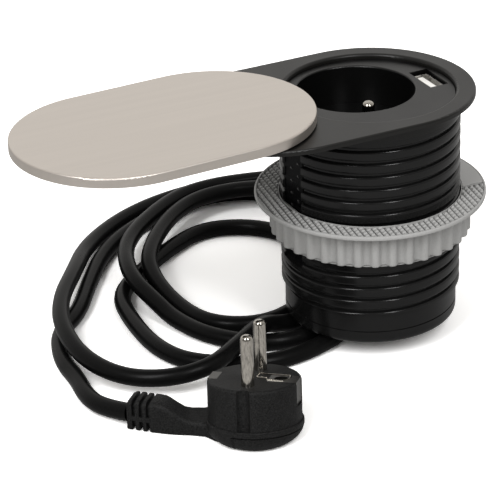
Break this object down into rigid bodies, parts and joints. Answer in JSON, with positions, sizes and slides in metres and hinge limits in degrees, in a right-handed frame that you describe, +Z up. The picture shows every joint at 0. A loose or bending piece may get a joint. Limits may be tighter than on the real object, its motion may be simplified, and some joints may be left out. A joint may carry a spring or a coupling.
{
  "type": "desk socket",
  "caption": "Round barrel desk socket with an oval flange, swivel steel lid, recessed mains socket, USB outlet, clamp nut, and a coiled lead with its plug.",
  "frame": {"origin": "on the barrel's axis in the plane of the worktop, under the flange", "axes": "+Z up along the barrel's axis, +X along the flange from the lid's pivot towards the USB outlet"},
  "size_m": [0.1953, 0.2132, 0.1043],
  "materials": {
    "bezel_black": "satin",
    "tube_black": "gloss",
    "insert_black": "satin",
    "plug_black": "fine texture",
    "cord_black": "satin",
    "liner_black": "satin",
    "lid_steel": "brushed",
    "screw_steel": "bright",
    "spring_steel": "bright",
    "usb_steel": "bright",
    "nickel": "bright",
    "contact_brass": "bright",
    "inner_white": "satin",
    "board_green": "satin",
    "transformer_yellow": "satin",
    "capacitor_dark": "gloss",
    "clamp_grey": "satin",
    "wire_green": "satin",
    "wire_blue": "satin",
    "wire_brown": "satin"
  },
  "bodies": {
    "block": {"bezel": "bezel_black", "threaded_tube": "tube_black", "bottom_cap": "tube_black", "cap_screws": "screw_steel", "strain_relief": "cord_black", "cord_clamp": "inner_white", "clamp_screws": "screw_steel", "socket_insert": "insert_black", "earth_pin": "nickel", "contact_live": "contact_brass", "contact_neutral": "contact_brass", "contact_carrier": "inner_white", "carrier_screws": "screw_steel", "shutter_spring": "spring_steel", "usb_shell": "usb_steel", "usb_tongue": "inner_white", "usb_board": "board_green", "charger_transformer": "transformer_yellow", "charger_capacitor": "capacitor_dark", "terminal_block": "inner_white", "terminal_screws": "contact_brass", "wire_earth": "wire_green", "wire_neutral": "wire_blue", "wire_live": "wire_brown", "usb_feed_wires": "wire_brown", "mains_tails": "wire_blue", "spring_washer": "spring_steel", "swivel_ring": "inner_white", "plug_body": "plug_black", "plug_earth_contact": "nickel", "plug_pin_front": "nickel", "plug_pin_back": "nickel", "plug_sole": "plug_black", "plug_boot": "plug_black", "cord": "cord_black"},
    "lid": {"cover_plate": "lid_steel", "cover_base": "liner_black", "pivot_pin": "screw_steel", "pivot_clip": "spring_steel"},
    "washer": {"clamp_washer": "clamp_grey"},
    "nut": {"clamp_nut": "clamp_grey"},
    "shutter": {"shutter": "inner_white"}
  },
  "joints": [
    {"name": "lid_swivel", "type": "hinge", "parent": "block", "child": "lid", "pos_m": [-0.0529, 0, 0.0028], "axis": [0, 0, 1], "range_deg": [0, 178.2]},
    {"name": "washer_slide", "type": "slide", "parent": "block", "child": "washer", "axis": [0, 0, 1], "range_m": [-0.0215, 0.0295]},
    {"name": "nut_turn", "type": "hinge", "parent": "washer", "child": "nut", "pos_m": [0, 0, -0.0483], "axis": [0, 0, 1], "range_deg": [-1530, 2100]},
    {"name": "shutter_turn", "type": "hinge", "parent": "block", "child": "shutter", "pos_m": [-0.0031, 0.0053, -0.0186], "axis": [0, 0, 1], "range_deg": [0, 40], "stiffness_Nm_per_rad": 0.002}
  ],
  "couplings": [
    {"joint": "washer_slide", "follows": "nut_turn", "m_per_rad": 0.00080373}
  ]
}
